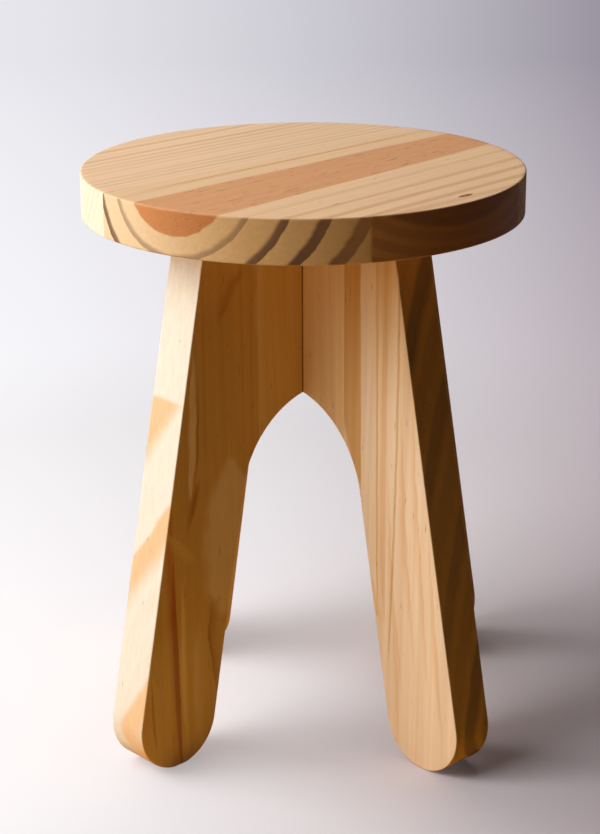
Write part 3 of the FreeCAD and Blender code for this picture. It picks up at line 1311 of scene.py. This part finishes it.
class UpperBoard(LegBoard):
    """The board along X, whose front left leg carries the strongest figure."""

    EDGE_FACES = (1.0, 0.0, 0.0)

    def front_left_marks(self) -> tuple[Mark, ...]:
        """Draw the figure of the front left leg, whose pith lies beyond its outer edge, and a paler lower
        part of its front face that is partly painted light.

        Returns:
            The marks, in the order in which they are laid.
        """
        inward, outward, up = (1.0, 0.0, 0.0), (-1.0, 0.0, 0.0), (0.0, 0.0, 1.0)
        slanting = (0.949, 0.317, 0.0)
        band, streak, yellow = (252, 212, 168), (206, 172, 116), (230, 196, 112)
        pale = (236, 212, 178)
        mark = self.front_mark
        return (
            mark((-157.2, -40.0), (-158.7, 125.0), 12.0, slanting, band, 0.9, sharp=2.5, soft=7.0,
                 blunt=6.0, deep=WHOLE),
            mark((-127.3, -80.0), (-135.9, 235.0), 10.5, slanting, band, 0.9, sharp=1.5, soft=6.0,
                 blunt=8.0, waver=3.0, deep=WHOLE),
            mark((-122.4, 140.0), (-122.9, 300.0), 1.6, inward, band, 0.9, soft=5.0, blunt=8.0,
                 fan=0.2, deep=WHOLE),
            # Paler lower part of the front face: partly paler wood, partly painted light, which leaves the
            # top darker as painted shade below the seat.
            mark((-240.0, 100.0), (-40.0, 136.0), 260.0, up, (228, 198, 142), 0.45, Tone.PALER,
                 sharp=50.0, soft=5.0, blunt=20.0, waver=10.0),
            mark((-112.0, 146.0), (-144.0, 178.0), 13.0, up, yellow, 0.5, Tone.PALER, bend=3.0,
                 sharp=2.0, soft=9.0, blunt=3.0, waver=5.0),
            mark((-98.0, 96.0), (-90.0, 220.0), 48.0, outward, pale, 0.65, Tone.PALER, bend=19.0,
                 sharp=12.0, soft=12.0, blunt=4.0, waver=18.0),
            mark((-131.0, -20.0), (-135.5, 160.0), 6.5, inward, streak, 0.9, bend=1.0, soft=3.0, blunt=3.0),
            mark((-124.0, -10.0), (-126.5, 150.0), 7.0, inward, (244, 214, 150), 0.6, Tone.PALER,
                 sharp=2.0, waver=6.0),
            mark((-111.0, -10.0), (-113.0, 112.0), 11.0, inward, pale, 0.4, Tone.PALER, sharp=3.0,
                 soft=6.0, waver=8.0),
            mark((-153.0, 8.0), (-157.0, 80.0), 3.0, inward, streak, 0.7, soft=1.5),
            mark((-119.5, 183.0), (-114.0, 302.0), 8.0, inward, (242, 220, 186), 0.7, Tone.PALER,
                 bend=4.5, sharp=1.5, soft=2.0, waver=5.0),
            mark((-117.5, 178.0), (-110.0, 290.0), 2.6, inward, streak, 0.9, bend=3.0, soft=1.5, waver=5.0),
            mark((-122.0, 166.0), (-108.5, 210.0), 9.0, inward, streak, 0.8, bend=2.0, sharp=3.0,
                 soft=5.0, waver=4.0),
            mark((-99.0, 38.0), (-101.5, 122.0), 12.0, outward, streak, 0.5, bend=6.5, sharp=1.5,
                 soft=8.0, blunt=4.0, waver=12.0),
            mark((-99.0, 42.0), (-101.5, 122.0), 4.0, outward, streak, 0.65, bend=6.5, sharp=1.5,
                 soft=3.0, waver=12.0),
            mark((-92.0, 304.0), (-64.0, 346.0), 15.0, inward, streak, 0.4, sharp=6.0, soft=9.0,
                 blunt=3.0, waver=8.0),
            mark((-104.5, 205.0), (-103.0, 370.0), 2.2, inward, streak, 0.35, blunt=6.0),
            mark((-86.0, 205.0), (-84.0, 370.0), 2.0, inward, streak, 0.35, blunt=6.0),
            mark((-55.0, 140.0), (-66.0, 430.0), 30.0, outward, (226, 202, 152), 0.5, Tone.PALER,
                 sharp=6.0, blunt=12.0, waver=10.0),
        )

    def centre_marks(self) -> tuple[Mark, ...]:
        """Draw the pale wood beside the leg, and the dark line at the crossing board, partly glue and partly
        painted shade.

        Returns:
            The marks, in the order in which they are laid.
        """
        beside_leg = self.front_mark(
            (-75.0, 60.0), (-75.0, 500.0), 28.0, (-1.0, 0.0, 0.0), (230, 204, 150), 0.4, Tone.PALER,
            soft=10.0, blunt=12.0,
        )
        return (beside_leg, self.glue_line())

    def finishes(self) -> tuple[PineFinish, PineFinish, PineFinish]:
        """Choose the finish of each stave.

        Returns:
            The finishes, from the front left leg to the back right one.
        """
        return (
            # The front left leg's cream sawn edges are partly paler wood and partly painted light. Its
            # darker, yellower broad faces, and the centre stave's yellower broad faces, are partly painted
            # shade.
            PineFinish("pine_upper_front_left", Rings(
                (-0.236, -0.032, 0.0), (-0.238, -0.03, 0.4), 0.3, 118.0, inner_softness=0.3, unevenness=0.8,
            ), self.EDGE_FACES, early=(212, 168, 94), late=(196, 146, 72), edge_early=(243, 234, 218),
                edge_late=(240, 226, 202), late_strength=0.35, marks=self.front_left_marks()),
            PineFinish("pine_upper_centre", Rings((-0.02, 0.12, 0.0), (-0.03, 0.12, 0.4), 0.1, 105.0,
                                                  inner_softness=0.3, unevenness=0.7),
                       self.EDGE_FACES, early=(226, 186, 118), late_strength=0.35, marks=self.centre_marks()),
            PineFinish("pine_upper_back_right", Rings((0.10, 0.055, 0.0), (0.125, 0.035, 0.4), 0.1, 130.0,
                                                      inner_softness=0.25, unevenness=0.5),
                       self.EDGE_FACES, late_strength=0.55),
        )


class LowerBoard(LegBoard):
    """The board along Y, whose front right leg has long soft stripes."""

    EDGE_FACES = (0.0, 1.0, 0.0)

    def front_right_marks(self) -> tuple[Mark, ...]:
        """Draw the front right leg's soft stripes beside the joint and its long low arches, with painted
        shade over the top of its front face, below the seat.

        Returns:
            The marks, in the order in which they are laid.
        """
        outward, up = (0.0, -1.0, 0.0), (0.0, 0.0, 1.0)
        brown, tan, line = (226, 198, 142), (246, 233, 213), (230, 207, 172)
        yellow, pale, painted_seat_shade = (230, 182, 110), (250, 226, 194), (240, 226, 184)
        mark = self.front_mark
        return (
            # Painted shade: darkens the top of the front face below the seat, fading out downwards.
            mark((200.0, 372.0), (-400.0, 372.0), 150.0, up, painted_seat_shade, 0.9, soft=140.0, blunt=20.0),
            mark((-88.0, 80.0), (-87.0, 420.0), 15.0, outward, pale, 0.4, Tone.PALER, sharp=1.5,
                 soft=2.0, blunt=8.0),
            mark((-74.0, 185.0), (-72.0, 420.0), 24.0, outward, brown, 0.9, soft=5.0, blunt=3.0),
            mark((-56.0, 200.0), (-56.0, 440.0), 1.6, outward, line, 0.7, sharp=0.3, soft=0.6, blunt=8.0),
            mark((-91.0, 100.0), (-89.0, 400.0), 2.8, outward, yellow, 0.85, Tone.PALER, soft=1.2, blunt=8.0),
            mark((-98.0, 90.0), (-98.5, 400.0), 7.5, outward, tan, 0.8, blunt=6.0),
            mark((-106.0, 60.0), (-108.5, 400.0), 9.0, outward, pale, 0.6, Tone.PALER, bend=2.0, sharp=1.5),
            mark((-101.5, 60.0), (-108.0, 400.0), 3.0, outward, line, 0.9, bend=4.0, soft=1.2, blunt=8.0),
            mark((-99.0, 94.0), (-80.0, 150.0), 15.0, outward, yellow, 0.6, Tone.PALER, sharp=5.0,
                 soft=6.0, waver=14.0),
            mark((-131.0, 46.0), (-110.0, 300.0), 8.0, outward, tan, 1.0, bend=-3.0, soft=7.0, waver=5.0),
            mark((-119.0, 30.0), (-101.0, 230.0), 7.0, outward, tan, 1.0, bend=-4.0, soft=6.0, waver=5.0),
            mark((-146.0, 20.0), (-118.0, 345.0), 9.0, outward, tan, 0.9, bend=-3.0, soft=8.0, waver=5.0),
            mark((-156.0, 0.0), (-136.0, 190.0), 7.0, outward, tan, 0.9, bend=2.0, soft=5.0, waver=4.0),
            mark((-112.0, 10.0), (-104.0, 120.0), 6.0, outward, tan, 0.9, bend=2.0, soft=5.0, waver=4.0),
        )

    def centre_marks(self) -> tuple[Mark, ...]:
        """The thin dark line beside the crossing board, partly glue and partly painted shade."""
        return (self.glue_line(),)

    def finishes(self) -> tuple[PineFinish, PineFinish, PineFinish]:
        """Choose the finish of each stave.

        Returns:
            The finishes, from the front right leg to the back left one.
        """
        return (
            # The front right leg's sawn edges are partly darker wood and partly painted shade: their latewood
            # is near black and their earlywood brown.
            PineFinish("pine_lower_front_right", Rings(
                (0.058, -0.255, 0.0), (0.062, -0.262, 0.4), 0.1, 110.0, late_share=0.35, inner_softness=0.35,
                outer_softness=0.2, wobble=6 * MM, wobble_scale=14.0, unevenness=0.9,
            ), self.EDGE_FACES, early=(252, 224, 192), late=(243, 206, 164), edge_early=(212, 162, 84),
                edge_late=(50, 20, 2), late_strength=0.55, marks=self.front_right_marks()),
            PineFinish("pine_lower_centre", Rings((0.12, -0.01, 0.0), (0.12, 0.0, 0.4), 0.1, 105.0,
                                                  inner_softness=0.3, unevenness=0.7),
                       self.EDGE_FACES, early=(238, 200, 146), late_strength=0.3, marks=self.centre_marks()),
            PineFinish("pine_lower_back_left", Rings((0.055, 0.12, 0.0), (0.035, 0.14, 0.4), 0.1, 130.0,
                                                     inner_softness=0.25, unevenness=0.5),
                       self.EDGE_FACES, late_strength=0.55),
        )


def main() -> None:
    """Build the stage and the stool."""
    logging.basicConfig(level=logging.INFO, format="%(message)s")
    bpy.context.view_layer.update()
    Stage().build()
    groups = {
        "growth_rings": growth_ring_group(),
        "wood_fibre": fibre_group(),
        "facing": facing_group(),
        "grain_mark": grain_mark_group(),
    }
    pieces = Seat.from_frame().build(groups)
    pieces += UpperBoard.from_frame(
        Direction.ALONG_X,
        ("upper_board_leg_front_left", "upper_board_centre", "upper_board_leg_back_right"),
        False,
    ).build(groups)
    pieces += LowerBoard.from_frame(
        Direction.ALONG_Y,
        ("lower_board_leg_front_right", "lower_board_centre", "lower_board_leg_back_left"),
        True,
    ).build(groups)
    for piece in pieces:
        log.info("%s: %d faces", piece.name, len(piece.data.polygons))

    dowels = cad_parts["seat_dowels"]
    beech = PineFinish("beech_dowels", Rings((0.0, 0.0, 0.0), (0.0, 0.0, 0.4), 0.0, 900.0), (1.0, 0.0, 0.0),
                       early=(226, 190, 150), late=(205, 165, 125))
    dowels.data.materials.clear()
    dowels.data.materials.append(beech.material(groups))


if __name__ == "__main__":
    main()
